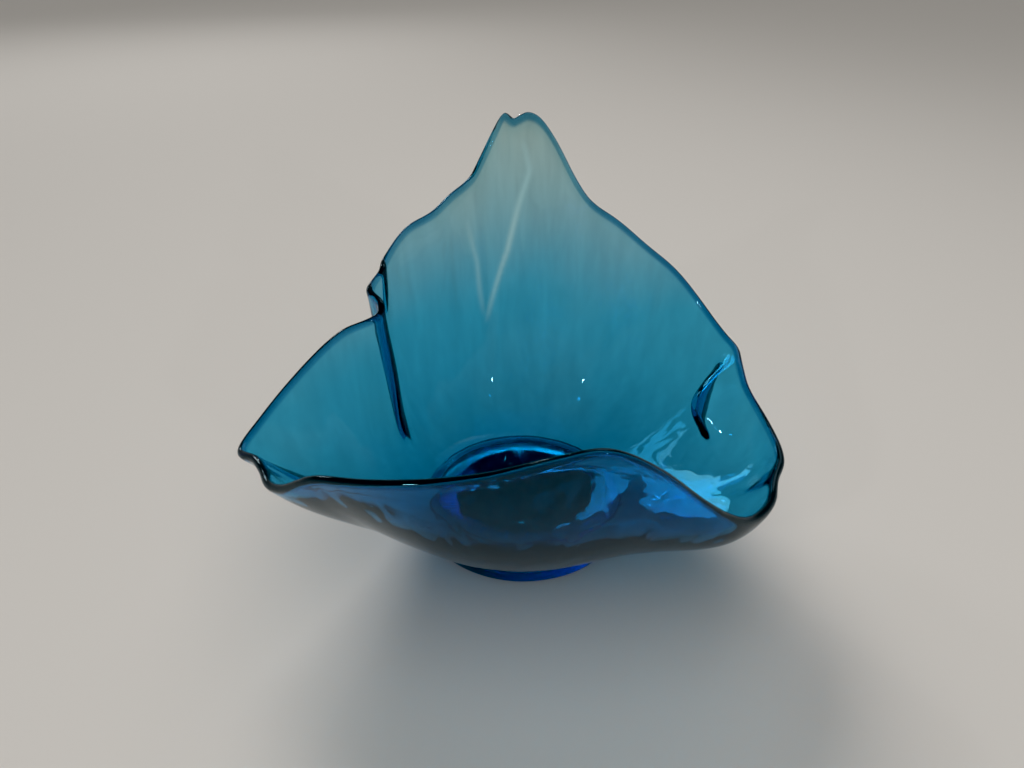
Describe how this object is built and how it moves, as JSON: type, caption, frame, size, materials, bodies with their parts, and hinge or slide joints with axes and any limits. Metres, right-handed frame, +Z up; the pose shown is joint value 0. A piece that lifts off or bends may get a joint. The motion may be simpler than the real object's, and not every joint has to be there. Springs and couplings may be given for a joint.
{
  "type": "art glass bowl",
  "caption": "Free-form transparent blue art glass bowl with a tall pulled peak, spouts, pleats and a hump in its front lip, on a disc foot.",
  "frame": {"origin": "centre of the foot's flat underside, on the surface that the bowl stands on", "axes": "+Z up along the axis of the foot, -Y out through the low front lip, +Y towards the tall peak, +X towards the right-hand spout"},
  "size_m": [0.2045, 0.1647, 0.1507],
  "materials": {
    "body_glass": "gloss",
    "foot_glass": "gloss"
  },
  "bodies": {
    "root": {"bowl_body": "body_glass", "disc_foot": "foot_glass"}
  },
  "joints": []
}
